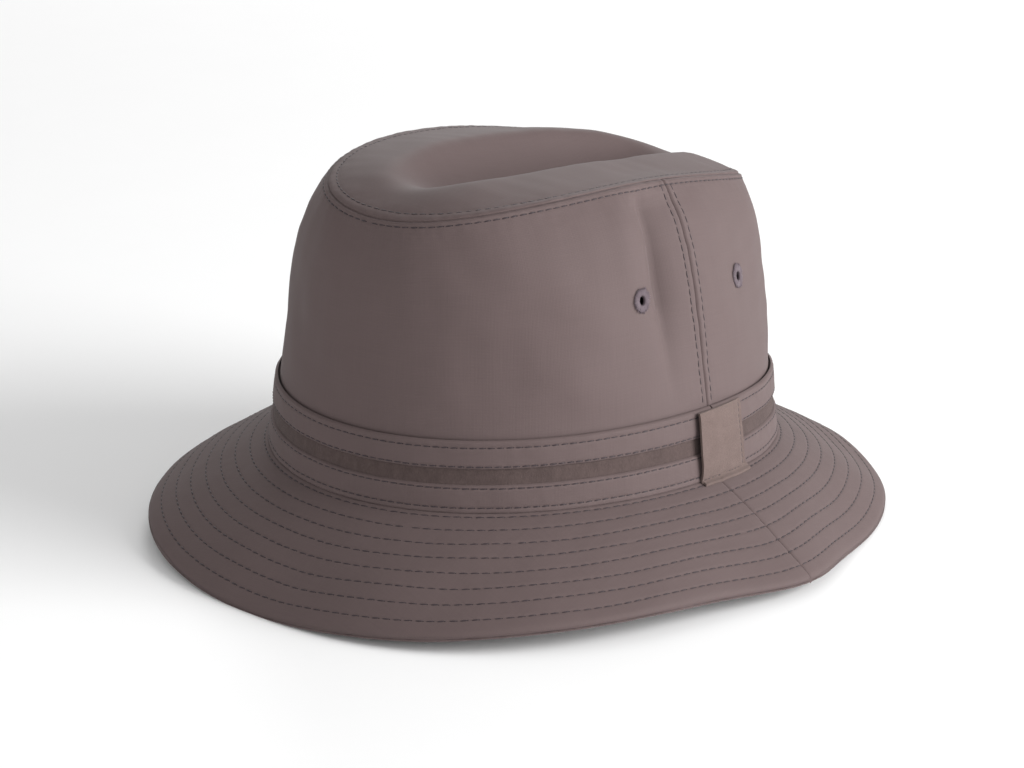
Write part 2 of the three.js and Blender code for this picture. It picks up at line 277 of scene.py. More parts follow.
def wall_point(angle, share, layer):
    """The crown's side; share runs from 0 at the base to 1 at the tip seam."""
    low, high = base_line(angle), tip_line(angle)
    lean = WALL_LEAN - WALL_LEAN_BEHIND * np.cos(angle)
    inward = lean * share + (1 - lean) * np.maximum(share, 0) ** WALL_SHOULDER
    p = mix(low, high, inward[..., None])
    p[..., 2] = mix(low[..., 2], high[..., 2], share)
    return p + outwards(angle, share) * np.asarray(layer)[..., None]


def rise_point(angle, rise, layer):
    return wall_point(angle, rise / wall_height(angle), layer)


def tip_point(angle, share, layer):
    """The crown's tip; share runs from 0 in the middle to 1 at the seam."""
    seam = tip_line(angle)
    x = seam[..., 0] * share
    y = TIP_SHIFT + (seam[..., 1] - TIP_SHIFT) * share
    swell = DOME_HEIGHT * (1 - share**DOME_ROUNDNESS) * (1 + DOME_ENDS * share**2 * np.cos(2 * angle))
    dome = TIP_HEIGHT + tip_level(angle, share) + swell
    across, along = x / CREASE_HALF_WIDTH, (y - CREASE_SHIFT) / CREASE_HALF_LENGTH
    soft = 0.5 + 0.5 * np.cos(angle - CREASE_SOFT_SIDE)
    outward = (across**2 + along**2) / (1 - CREASE_NARROWS * soft) ** 2
    bowl = CREASE_FLOOR + CREASE_WALL * outward ** (CREASE_STEEPNESS - CREASE_EASES * soft)
    lower = np.minimum(dome, bowl)
    blend = CREASE_ROUNDING + CREASE_ROUNDS * soft
    z = lower - blend * np.log(np.exp((lower - dome) / blend) + np.exp((lower - bowl) / blend))
    upright = np.clip((1 - share) / SEAM_LIFT_REACH, 0, 1)[..., None]
    way = outwards(angle, np.ones_like(share)) * (1 - upright) + np.array([0, 0, 1]) * upright
    way /= np.linalg.norm(way, axis=-1, keepdims=True)
    return np.stack([x, y, z], -1) + way * np.asarray(layer)[..., None]


def brim_point(angle, share, layer):
    """The brim; share is below 0 under the crown, 0 at the hatband's foot and 1 at the edge."""
    inner, foot, far = base_line(angle, -SWEATBAND[0]), base_line(angle, -BAND_STRIP[1]), edge_line(angle)
    under = np.minimum(share, 0)[..., None]
    out = np.maximum(share, 0)
    p = mix(foot, far, out[..., None]) + (foot - inner) * under
    p[..., 2] = mix(foot[..., 2], far[..., 2], BRIM_FALL * out + (1 - BRIM_FALL) * out**2) + layer
    return p


def waves(seed, length, count=9):
    """Gentle unevenness of about one, with bumps of about the given length: a function of two distances."""
    draw = random.Random(seed)
    parts = []
    for _ in range(count):
        turn, size = draw.uniform(0, math.pi), length * draw.uniform(0.7, 1.6)
        parts.append((math.cos(turn) / size, math.sin(turn) / size, draw.uniform(0, math.tau)))
    return lambda u, v: sum(np.sin(math.tau * (a * u + b * v) + c) for a, b, c in parts) / math.sqrt(count)


def round_waves(seed, length, radius=90, count=9):
    """The same for an angle round the hat and a distance, closing on itself after a full turn."""
    draw = random.Random(seed)
    parts = []
    for _ in range(count):
        turn, size = draw.uniform(0, math.pi), length * draw.uniform(0.7, 1.6)
        times = round(math.tau * radius * math.cos(turn) / size)
        parts.append((times, math.tau * math.sin(turn) / size, draw.uniform(0, math.tau)))
    return lambda angle, v: sum(np.sin(n * angle + b * v + c) for n, b, c in parts) / math.sqrt(count)


CRUMPLE, RUMPLE, SHIVER = round_waves(3, 34), round_waves(5, 13), round_waves(8, 5.5)
FLAT_CRUMPLE, FLAT_RUMPLE, FLAT_SHIVER = waves(3, 34), waves(5, 13), waves(8, 5.5)


def hollow(distance, depth, width):
    return -depth * np.exp(-((distance / width) ** 2))


def fade_in(value, low, high):
    t = np.clip((value - low) / (high - low), 0, 1)
    return t * t * (3 - 2 * t)


def ridge(distance, height, near, far):
    return height * (1 - fade_in(distance, near, far))


def from_seams(angle):
    """The turn from the nearer side seam."""
    return np.minimum(np.abs(around(angle, LEFT)), np.abs(around(angle, RIGHT)))


def from_side_seam(angle, share):
    """Distance along the wall from the nearer side seam."""
    return from_seams(angle) * mix(BASE[1], TIP[1], np.clip(share, 0, 1) * WALL_LEAN)


def folds(angle, share):
    """The crown's soft folds and unevenness, none of it under the hatband."""
    rise = share * wall_height(angle)
    total = CRUMPLE_DEPTH * CRUMPLE(angle, rise) + RUMPLE_DEPTH * RUMPLE(angle, rise)
    for turn, height, half_width, half_height, depth, lean in FOLDS:
        s = around(angle, math.radians(turn)) * FOLD_RADIUS - lean * (rise - height)
        total = total + depth * np.exp(-((s / half_width) ** 2) - ((rise - height) / half_height) ** 2)
    turn, height, half_height, depth, before, behind = SHARP_FOLD
    s = around(angle, math.radians(turn)) * FOLD_RADIUS
    slope = (np.sqrt(s**2 + 1) - 1) / np.where(s < 0, before, behind)
    total = total - depth * np.exp(-slope - ((rise - height) / half_height) ** 2)
    return total * fade_in(rise, *FOLDS_FROM) * fade_in(1 - share, 0.0, FOLDS_END)


def wall_relief(angle, share):
    """The wall's folds and its seams: ridges over the turned-in edges, grooves at the seams and stitch rows."""
    below_tip = (1 - share) * wall_height(angle)
    side = from_side_seam(angle, share)
    total = folds(angle, share)
    total += ridge(below_tip, *WALL_RIDGE) + ridge(side, *SIDE_RIDGE)
    total += hollow(below_tip, *TIP_GROOVE) + hollow(side, *SIDE_GROOVE)
    total += hollow(below_tip - WALL_TOPSTITCH, *CROWN_ROW) + hollow(side - SIDE_TOPSTITCH, *CROWN_ROW)
    pucker = PUCKER * SHIVER(angle, share * CUT_HEIGHT)
    by_side, by_tip = np.exp(-((side / PUCKER_BY_SIDE) ** 2)), np.exp(-((below_tip / PUCKER_BY_TIP) ** 2))
    return total + pucker * np.maximum(by_side, by_tip)


def shell_point(angle, share, layer):
    """The wall as sewn, outside."""
    return wall_point(angle, share, layer + wall_relief(angle, share))


def inside_point(angle, share, layer):
    """The wall inside, where only its folds show."""
    return wall_point(angle, share, layer + folds(angle, share))


def crown_tip_point(angle, share, layer):
    """The tip as sewn."""
    seam = tip_line(angle)
    in_from_seam = (1 - share) * np.hypot(seam[..., 0], seam[..., 1] - TIP_SHIFT)
    x, y = seam[..., 0] * share, seam[..., 1] * share
    relief = ridge(in_from_seam, *TIP_RIDGE)
    relief += hollow(in_from_seam, *TIP_GROOVE) + hollow(in_from_seam - TIP_TOPSTITCH, *CROWN_ROW)
    relief += 0.2 * FLAT_CRUMPLE(x + 40, y) * fade_in(in_from_seam, 2, 12) + 0.05 * FLAT_RUMPLE(x, y + 20)
    relief += PUCKER * FLAT_SHIVER(x, y) * np.exp(-((in_from_seam / PUCKER_BY_TIP) ** 2))
    return tip_point(angle, share, layer + relief)


def brim_relief(angle, share):
    """What sewing does to the brim's top: a groove for each row and cloth puffed between them."""
    total = 0.0
    for row in BRIM_ROWS:
        total = total + hollow((share - row) * BRIM_WIDTH, *BRIM_ROW)
    side = from_seams(angle) * mix(*BRIM_RADII, share)
    total += hollow(side, *BRIM_GROOVE) + ridge(side, *BRIM_RIDGE)
    total += 0.06 * RUMPLE(angle, share * 60) * fade_in(share, 0, 0.2)
    total += 0.025 * SHIVER(angle, share * 60)
    return total


def brim_sway(angle, share):
    """Slow unevenness that all of the brim's layers share."""
    return 0.5 * CRUMPLE(angle, share * 30) * fade_in(share, 0.05, 0.7)


def turned_edge(share, depth):
    """How far a face drops towards the brim's middle where its cloth turns in at the edge."""
    inside = np.clip(1 - (1 - share) * BRIM_WIDTH / EDGE_ROLL_REACH, 0, 1)
    return depth * (1 - np.sqrt(np.maximum(1 - inside**2, 0)))


def brim_top_point(angle, share, layer):
    lift = brim_relief(angle, share) + brim_sway(angle, share) - turned_edge(share, EDGE_ROLL_TOP)
    return brim_point(angle, share, layer + lift)


def brim_under_point(angle, share, layer):
    lift = -0.8 * brim_relief(angle, share) + brim_sway(angle, share) + turned_edge(share, EDGE_ROLL_UNDER)
    return brim_point(angle, share, layer + lift)


def brim_inner_point(angle, share, layer):
    return brim_point(angle, share, layer + brim_sway(angle, share))


def strip_relief(rise, low, high):
    """A folded strip is full in the middle and rolls down at its folds; its sewing sinks in."""
    to_fold = np.minimum(rise - low, high - rise)
    total = -STRIP_ROLL * (1 - np.clip(to_fold / STRIP_ROLL_REACH, 0, 1)) ** 2
    for row in BAND_ROWS:
        total = total + hollow(rise - row, *BAND_ROW)
    return total


def strip_placer(low, high):
    def place(angle, rise, layer):
        unevenness = 0.035 * SHIVER(angle, rise) + 0.09 * RUMPLE(angle, rise)
        outer = fade_in(layer, *BAND_STRIP)
        return rise_point(angle, rise, layer + outer * (strip_relief(rise, low, high) + unevenness))

    return place


def own_box(point, shares, layer):
    angle, share = np.meshgrid(np.linspace(0, math.tau, 721), shares, indexing="ij")
    p = tilted(point(angle, share, np.full_like(share, layer))).reshape(-1, 3)
    return p.min(0), p.max(0)


def tilted(p):
    c, s = math.cos(REST_TILT), math.sin(REST_TILT)
    return np.stack([p[..., 0], p[..., 1] * c - p[..., 2] * s, p[..., 1] * s + p[..., 2] * c], -1)


def frame_offset():
    """From the hat's own origin to the frame's, by the brim's ends and the top of the crown."""
    low, high = own_box(brim_point, np.array([1.0]), -1.4)
    box_low, box_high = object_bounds()
    top = own_box(tip_point, np.linspace(0, 0.99, 160), 0.0)[1][2]
    along = (box_low.y + box_high.y) / 2 - MM * (low[1] + high[1]) / 2
    return np.array([0, along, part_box("crown_tip")[1].z - MM * top])


OFFSET = frame_offset()


def stood(p):
    """From the hat's own millimetres to the frame's metres."""
    return tilted(p) * MM + OFFSET


# ---- Cloth and thread ----------------------------------------------------------------------------------------------

SHARP_FROM = math.radians(40)


def spread(low, high, step, lines=(), reach=1.2):
    """Grid lines from low to high, closer together within reach of each of the given lines."""
    even = np.linspace(low, high, max(2, round(abs(high - low) / step) + 1))
    close = [line + d * reach for line in lines for d in (-1, -0.66, -0.33, 0, 0.33, 0.66, 1)]
    far = [v for v in even if all(abs(v - line) > 1.25 * reach for line in lines)] if lines else list(even)
    values = np.array([low, high, *far, *close])
    values = np.unique(np.round(values[(values >= low - 1e-9) & (values <= high + 1e-9)], 7))
    keep = np.concatenate([[True], np.diff(values) > step * 0.02])
    return values[keep]


def finish_piece(piece, material, node):
    piece.data.materials.append(material)
    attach(piece, BODY)
    if node:
        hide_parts(*([node] if isinstance(node, str) else node))
    return piece


def mesh_of(bm, name):
    mesh = bpy.data.meshes.new(name)
    bm.to_mesh(mesh)
    bm.free()
    return mesh


def to_object(name, mesh):
    piece = bpy.data.objects.new(name, mesh)
    bpy.context.scene.collection.objects.link(piece)
    return piece


def face_out(mesh):
    """Turns a closed mesh's faces outward if the laying turned them in."""
    co = np.zeros(len(mesh.vertices) * 3)
    mesh.vertices.foreach_get("co", co)
    co = co.reshape(-1, 3)
    mesh.calc_loop_triangles()
    tri = np.zeros(len(mesh.loop_triangles) * 3, int)
    mesh.loop_triangles.foreach_get("vertices", tri)
    a, b, c = (co[tri[i::3]] for i in range(3))
    if np.einsum("ij,ij->i", a, np.cross(b, c)).sum() < 0:
        mesh.flip_normals()


def cloth(name, columns, rows, layers, place, cut, holes=()):
    """A piece of cloth: a flat grid, thickened, laid by place, with its UV map in metres of cloth as cut gives it."""
    bm = bmesh.new()
    wide, high = len(columns) - 1, len(rows) - 1
    bmesh.ops.create_grid(bm, x_segments=wide, y_segments=high, size=0.5)
    bm.loops.layers.uv.new("UVMap")

    def grid_values(co):
        column, row = np.rint((co[:, 0] + 0.5) * wide), np.rint((co[:, 1] + 0.5) * high)
        return columns[column.astype(int)], rows[row.astype(int)]

    if holes:
        punch(bm, grid_values, place, holes)
    pulled = bmesh.ops.extrude_face_region(bm, geom=bm.faces[:])
    bmesh.ops.translate(bm, verts=[v for v in pulled["geom"] if isinstance(v, bmesh.types.BMVert)], vec=(0, 0, 1))
    bmesh.ops.recalc_face_normals(bm, faces=bm.faces[:])
    mesh = mesh_of(bm, name)
    co = np.zeros(len(mesh.vertices) * 3)
    mesh.vertices.foreach_get("co", co)
    co = co.reshape(-1, 3)
    u, v = grid_values(co)
    laid = stood(place(u, v, np.where(co[:, 2] > 0.5, layers[1], layers[0])))
    mesh.vertices.foreach_set("co", laid.ravel())
    corner = np.zeros(len(mesh.loops), int)
    mesh.loops.foreach_get("vertex_index", corner)
    flat = np.stack(cut(u, v), -1)[corner] * MM
    mesh.uv_layers["UVMap"].data.foreach_set("uv", flat.ravel())
    mesh.update()
    face_out(mesh)
    mesh.shade_smooth()
    mesh.set_sharp_from_angle(angle=SHARP_FROM)
    return to_object(name, mesh)


def lay(name, material, node, slot, *laying):
    """A piece of cloth, laid and finished."""
    return finish_piece(cloth(name, *laying), finishes()[material], node)


def punch(bm, grid_values, place, holes):
    """Takes out the grid's faces that lie wholly inside a hole."""
    co = np.array([v.co for v in bm.verts])
    laid = place(*grid_values(co), np.zeros(len(co)))
    for centre, radius in holes:
        inside = np.linalg.norm(laid - centre, axis=1) < radius
        gone = [f for f in bm.faces if all(inside[v.index] for v in f.verts)]
        bmesh.ops.delete(bm, geom=gone, context="FACES")
        bm.verts.index_update()
        co = np.array([v.co for v in bm.verts])
        laid = place(*grid_values(co), np.zeros(len(co)))


def wall_cut(angle, share):
    return angle * CUT_RADIUS, share * CUT_HEIGHT


def rise_cut(angle, rise):
    return angle * CUT_RADIUS, rise


def plan_cut(point):
    """Cuts a piece flat as it lies in plan."""

    def cut(angle, share):
        p = point(angle, share, np.zeros_like(share))
        return p[..., 0], p[..., 1]

    return cut


def seam_path(place, angle, other, layer):
    """Points and outward directions along a line on a surface, in metres."""
    angle, other = np.broadcast_arrays(np.asarray(angle, float), np.asarray(other, float))
    layer = np.full(angle.shape, float(layer))
    points = stood(place(angle, other, layer))
    step = 0.004
    along = stood(place(angle + step, other, layer)) - stood(place(angle - step, other, layer))
    up = stood(place(angle, other + step, layer)) - stood(place(angle, other - step, layer))
    out = np.cross(along, up)
    away = stood(place(angle, other, layer + 1)) - points
    out *= np.sign(np.einsum("ij,ij->i", out, away))[:, None]
    return points, out / np.linalg.norm(out, axis=1, keepdims=True)


def thread_mesh():
    """One stitch, lying along X with its ends drawn to a point, half a unit long each way."""
    bm = bmesh.new()
    bmesh.ops.create_uvsphere(bm, u_segments=6, v_segments=5, radius=0.5)
    bmesh.ops.rotate(bm, verts=bm.verts[:], cent=(0, 0, 0), matrix=Matrix.Rotation(math.pi / 2, 3, "Y"))
    mesh = mesh_of(bm, "one_stitch")
    mesh.shade_smooth()
    return mesh


def sew(name, paths, pitch, length, thickness, seed):
    """Rows of single stitches laid along paths, each ending in a needle hole drawn as a small dark pit of painted
    shade; a path is points and directions.
    """
    draw = random.Random(seed)
    # Each needle hole is a small near-black pit laid on the cloth: painted shade standing for the hole's shadow.
    stitch, hole = thread_mesh(), thread_mesh()
    hole.polygons.foreach_set("material_index", [1] * len(hole.polygons))
    bm = bmesh.new()
    for points, outs in paths:
        along = np.concatenate([[0], np.cumsum(np.linalg.norm(np.diff(points, axis=0), axis=1))])
        at = [lambda s, a=a: np.interp(s, along, a) for a in (*points.T, *outs.T)]
        for k in range(int(along[-1] / pitch)):
            middle = (k + 0.5) * pitch + draw.uniform(-0.04, 0.04) * pitch
            a = Vector([f(middle - length / 2) for f in at[:3]])
            b = Vector([f(middle + length / 2) for f in at[:3]])
            out = Vector([f(middle) for f in at[3:]]).normalized()
            ahead = (b - a).normalized()
            side = out.cross(ahead).normalized()
            out = ahead.cross(side)
            full = thickness * draw.uniform(0.92, 1.1)
            slant = draw.uniform(-0.05, 0.05) + 0.06
            turn = Matrix((ahead + side * slant, side, out)).transposed().to_4x4()
            size = Matrix.Diagonal(((b - a).length, full, full * 0.8, 1))
            place = Matrix.Translation((a + b) / 2 + out * (full * 0.08)) @ turn @ size
            add_shape(bm, stitch, place)
            size = Matrix.Diagonal((full, full * 0.9, full * 0.3, 1))
            add_shape(bm, hole, Matrix.Translation(b + out * full * 0.02) @ turn @ size)
    mesh = mesh_of(bm, name)
    for shape in (stitch, hole):
        bpy.data.meshes.remove(shape)
    mesh.shade_smooth()
    piece = finish_piece(to_object(name, mesh), finishes()["topstitch_thread"], None)
    piece.data.materials.append(finishes()["needle_hole_shadow"])


def add_shape(bm, shape, place):
    """Adds a copy of the shape, placed."""
    shape.transform(place)
    bm.from_mesh(shape)
    shape.transform(place.inverted())


# ---- Materials -----------------------------------------------------------------------------------------------------


class Recipe:
    """A material's nodes, added one at a time."""

    def __init__(self, name):
        self.material = bpy.data.materials.new(name)
        self.material.use_nodes = True
        self.tree = self.material.node_tree
        self.shader = self.tree.nodes["Principled BSDF"]

    def add(self, kind, inputs=(), **settings):
        node = self.tree.nodes.new(kind)
        for key, value in settings.items():
            setattr(node, key, value)
        for socket, value in dict(inputs).items():
            if isinstance(value, bpy.types.NodeSocket):
                self.tree.links.new(value, node.inputs[socket])
            else:
                node.inputs[socket].default_value = value
        return node

    def math(self, operation, a, b=0.0):
        return self.add("ShaderNodeMath", {0: a, 1: b}, operation=operation).outputs[0]

    def millimetres(self, kind="UV", stretch=(1, 1, 1)):
        source = self.add("ShaderNodeTexCoord").outputs[kind]
        scale = tuple(1000 * s for s in stretch)
        return self.add("ShaderNodeMapping", {"Vector": source, "Scale": scale}).outputs["Vector"]

    def noise(self, vector, scale, detail=3.0, rough=0.55):
        inputs = {"Vector": vector, "Scale": scale, "Detail": detail, "Roughness": rough}
        return self.add("ShaderNodeTexNoise", inputs).outputs["Fac"]

    def ribs(self, vector, pitch, direction):
        inputs = {"Vector": vector, "Scale": 0.314 / pitch, "Distortion": 0.6, "Detail": 1.0, "Detail Scale": 0.4}
        return self.add("ShaderNodeTexWave", inputs, bands_direction=direction).outputs["Fac"]

    def shade(self, colour, low, high, factor):
        """The colour, made darker or lighter as factor runs from 0 to 1."""
        darker = (*(c * low for c in colour), 1)
        lighter = (*(min(1, c * high) for c in colour), 1)
        inputs = {0: factor, 6: darker, 7: lighter}
        return self.add("ShaderNodeMix", inputs, data_type="RGBA").outputs[2]

    def dim(self, colour, low, factor):
        """The colour, dimmed to a share of itself where factor is 0."""
        inputs = {0: 1.0, 6: colour, 7: self.shade((1, 1, 1), low, 1.0, factor)}
        return self.add("ShaderNodeMix", inputs, data_type="RGBA", blend_type="MULTIPLY").outputs[2]

    def blend(self, first, second, share):
        """Two patterns added, the first with the given share."""
        return self.math("ADD", self.math("MULTIPLY", first, share), self.math("MULTIPLY", second, 1 - share))

    def bump(self, height, depth, strength=1.0, under=None):
        inputs = {"Height": height, "Distance": depth, "Strength": strength}
        if under:
            inputs["Normal"] = under
        return self.add("ShaderNodeBump", inputs).outputs["Normal"]

    def done(self, colour, normal, roughness, specular, sheen=0.0):
        self.tree.links.new(colour, self.shader.inputs["Base Color"])
        self.tree.links.new(normal, self.shader.inputs["Normal"])
        values = {"Roughness": roughness, "Specular IOR Level": specular, "Sheen Weight": sheen, "Sheen Roughness": 0.5}
        for socket, value in values.items():
            self.shader.inputs[socket].default_value = value
        return self.material


def woven_cloth(name, colour, pitch, depth=0.00002, roughness=0.72, contrast=0.1):
    """Plain weave with slubs: fine crossing ribs, threads a little thicker or thinner, slow cloudiness."""
    r = Recipe(name)
    mm = r.millimetres()
    across, up = r.ribs(mm, pitch, "X"), r.ribs(mm, pitch, "Y")
    weave = r.math("MULTIPLY", across, up)
    long_slubs = r.noise(r.millimetres(stretch=(0.05, 1.9, 1)), 1.0, 3)
    tall_slubs = r.noise(r.millimetres(stretch=(1.9, 0.05, 1)), 1.0, 3)
    slubs = r.blend(long_slubs, tall_slubs, 0.5)
    cloud = r.noise(mm, 0.022, 2)
    clouded = r.dim(r.shade(colour, 1 - contrast, 1 + contrast, slubs), 0.93, cloud)
    shaded = r.dim(clouded, 0.975, weave)
    normal = r.bump(slubs, depth * 3, 0.7, r.bump(weave, depth))
    return r.done(shaded, normal, roughness, 0.2, 0.04)


def napped(name, colour, grain, contrast, stretch=(1, 1, 1)):
    """Suede and brushed ribbon: short nap lying in small patches."""
    r = Recipe(name)
    mm = r.millimetres(stretch=stretch)
    fine = r.noise(mm, grain, 6, 0.75)
    patches = r.noise(mm, grain * 0.16, 4, 0.6)
    both = {"Value": r.blend(fine, patches, 0.6), "From Min": 0.32, "From Max": 0.68}
    base = r.shade(colour, 1 - contrast, 1 + contrast, r.add("ShaderNodeMapRange", both).outputs[0])
    return r.done(base, r.bump(fine, 0.00016), 0.95, 0.15, 0.06)


def thread_finish(name, colour):
    """Spun thread: a soft shine, with a fine twist to it."""
    r = Recipe(name)
    mm = r.millimetres("Object")
    twist = r.noise(mm, 2.6, 3)
    cloud = r.noise(mm, 0.05, 2)
    base = r.dim(r.shade(colour, 0.8, 1.2, twist), 0.85, cloud)
    return r.done(base, r.bump(twist, 0.00005), 0.55, 0.3, 0.05)


def knitted(name, colour, pitch):
    """Close-knitted band: rows of small ribs."""
    r = Recipe(name)
    mm = r.millimetres()
    rows = r.ribs(mm, pitch, "Y")
    stitches = r.ribs(mm, pitch * 0.8, "X")
    both = r.blend(rows, stitches, 0.65)
    base = r.dim(r.shade(colour, 0.7, 1.3, both), 0.85, r.noise(mm, 0.05))
    return r.done(base, r.bump(both, 0.00018), 0.85, 0.2, 0.3)


def satin_lining(name, colour):
    """Smooth lining with fine lines and small creases."""
    r = Recipe(name)
    mm = r.millimetres()
    lines = r.ribs(mm, 0.35, "DIAGONAL")
    creases = r.noise(mm, 0.12, 3)
    # Painted shade and light: the crease noise also sets the colour, darker in the creases' hollows and lighter on
    # their crests.
    base = r.shade(colour, 0.85, 1.15, r.blend(lines, creases, 0.4))
    normal = r.bump(creases, 0.0009, 0.6, r.bump(lines, 0.00003))
    return r.done(base, normal, 0.42, 0.4, 0.1)


def felted(name, colour):
    """Matted fibres with no weave; in near-black, the same finish paints the shade of the needle holes."""
    r = Recipe(name)
    mm = r.millimetres()
    fuzz = r.noise(mm, 1.3, 5, 0.7)
    return r.done(r.shade(colour, 0.9, 1.05, fuzz), r.bump(fuzz, 0.0002), 0.95, 0.1, 0.2)


def pale_floor():
    r = Recipe("pale_floor")
    mm = r.millimetres("Object")
    speckle = r.noise(mm, 0.02, 3)
    return r.done(r.shade((0.93, 0.93, 0.93), 0.985, 1.0, speckle), r.bump(speckle, 0.0002, 0.1), 0.9, 0.1)


def finishes():
    """Every material, made once and shared."""
    made = bpy.data.materials
    if "shell_weave" not in made:
        c = bpy.context.scene.hat_colours
        woven_cloth("shell_weave", c.shell, 0.5)
        napped("ribbon_nap", c.ribbon, 1.1, 0.3, (1.6, 0.7, 1))
        napped("tab_nap", c.tab, 1.3, 0.16)
        thread_finish("topstitch_thread", c.thread)
        thread_finish("eyelet_satin", c.eyelet)
        # Near-black: painted shade for the needle holes at the stitches' ends.
        felted("needle_hole_shadow", (0.016, 0.012, 0.013))
        satin_lining("lining_satin", c.lining)
        knitted("sweatband_knit", c.sweatband, 0.9)
        woven_cloth("seam_tape_twill", c.tape, 0.8, 0.0001, 0.8)
        felted("brim_stiffener_felt", c.stiffener)
    return made


# ---- Pieces --------------------------------------------------------------------------------------------------------


def arc(length, angle=LEFT):
    """The angle that a length along the base takes up."""
    x, y, _ = base_line(np.array(angle))
    return length / math.hypot(x, y)


HALVES = {"front": (-LEFT, LEFT), "back": (LEFT, RIGHT)}
FROM_SEAM = arc(EYELET_FROM_SEAM)
EYELETS = {
    "left_front": (LEFT - FROM_SEAM, EYELET_RISE_FRONT),
    "left_back": (LEFT + FROM_SEAM, EYELET_RISE_BACK),
    "right_front": (RIGHT + FROM_SEAM, EYELET_RISE_FRONT),
    "right_back": (RIGHT - FROM_SEAM, EYELET_RISE_BACK),
}


def by_ends(low, high, steps):
    """Grid lines at the given steps in from both ends."""
    return [v for d in steps for v in (low + d, high - d)]


def once_round(start, gap, count):
    """Angles from just after the start to just before it again."""
    return np.linspace(start + arc(gap), start + math.tau - arc(gap), count)


def half_columns(span, step):
    """Grid lines round one half, closer together by both side seams."""
    seam_gap, near = arc(SEAM_GAP), arc(1.0)
    low, high = span[0] + seam_gap, span[1] - seam_gap
    beside = by_ends(low, high, [near * d for d in (0.3, 0.6, 1, 1.5, 2, 2.5, 3, 4)])
    even = np.linspace(low + near * 5, high - near * 5, round((high - low) / arc(step)))
    return np.unique(np.concatenate([[low, high], beside, even]))


def eyelet_hole(name):
    angle, rise = (np.array([v]) for v in EYELETS[name])
    share = rise / wall_height(angle)
    return shell_point(angle, share, np.zeros(1))[0]


class HAT_OT_crown(bpy.types.Operator):
    """Cut and lay the crown's two side panels and its creased tip"""

    bl_idname = "hat.crown"
    bl_label = "Crown shell"

    def execute(self, context):
        rim = context.scene.hat_sizes.eyelet_radius / MM - 0.5
        height = float(wall_height(np.array(LEFT)))
        lines = [1 - WALL_TOPSTITCH / height]
        by_seam = [1 - d / height for d in (0.15, 0.3, 0.45, 0.65, 0.9, 1.2)]
        rows = np.concatenate([spread(0.0, 0.93, 0.0155), spread(0.93, 0.9997, 0.006, lines, 0.011), by_seam])
        rows = np.unique(np.round(rows, 6))
        for half, span in HALVES.items():
            holes = [(eyelet_hole(n), rim) for n in EYELETS if n.endswith(half)]
            panel = half_columns(span, 1.35), rows, SHELL, shell_point, wall_cut, holes
            lay(f"crown_side_{half}_cloth", "shell_weave", f"crown_side_{half}", "shell_cloth", *panel)
        self.lay_tip()
        return {"FINISHED"}

    def lay_tip(self):
        """The tip is laid from a square grid drawn round into a disc, so no point gathers the cloth."""
        side = np.linspace(-1, 1, 151)
        warp = np.sign(side) * (1 - (1 - np.abs(side)) ** 1.22)

        def round_off(a, b):
            r = np.maximum(np.abs(a), np.abs(b))
            wide = np.abs(a) >= np.abs(b)
            safe = np.where(r == 0, 1, r)
            from_x, from_y = math.pi / 4 * b / safe * np.sign(a), math.pi / 4 * a / safe * np.sign(b)
            turn = np.where(wide, from_x, math.pi / 2 - from_y)
            x = np.where(wide, a, b) * np.cos(turn)
            y = np.where(wide, a, b) * np.sin(turn)
            return np.arctan2(x, -y), np.minimum(np.hypot(x, y), 1) * 0.9995

        def place(a, b, layer):
            return crown_tip_point(*round_off(a, b), layer)

        cut = plan_cut(lambda a, b, layer: tip_point(*round_off(a, b), layer))
        lay("crown_tip_cloth", "shell_weave", "crown_tip", "shell_cloth", warp, warp, SHELL, place, cut)


class HAT_OT_crown_stitching(bpy.types.Operator):
    """Topstitch the tip seam and the two side seams"""

    bl_idname = "hat.crown_stitching"
    bl_label = "Crown topstitching"

    def execute(self, context):
        sizes = context.scene.hat_sizes
        turn = np.linspace(0, math.tau, 900)
        seam = tip_line(turn)
        tip_share = 1 - TIP_TOPSTITCH / np.hypot(seam[:, 0], seam[:, 1] - TIP_SHIFT)
        wall_share = 1 - WALL_TOPSTITCH / wall_height(turn)
        paths = [seam_path(crown_tip_point, turn, tip_share, 0), seam_path(shell_point, turn, wall_share, 0)]
        for side_seam in (LEFT, RIGHT):
            share = np.linspace(0.255, 0.99, 250)
            reach = mix(BASE[1], TIP[1], share * WALL_LEAN)
            for way in (-1, 1):
                paths.append(seam_path(shell_point, side_seam + way * SIDE_TOPSTITCH / reach, share, 0))
        sew("crown_topstitching", paths, sizes.seam_pitch, CROWN_STITCH, sizes.thread, 11)
        return {"FINISHED"}


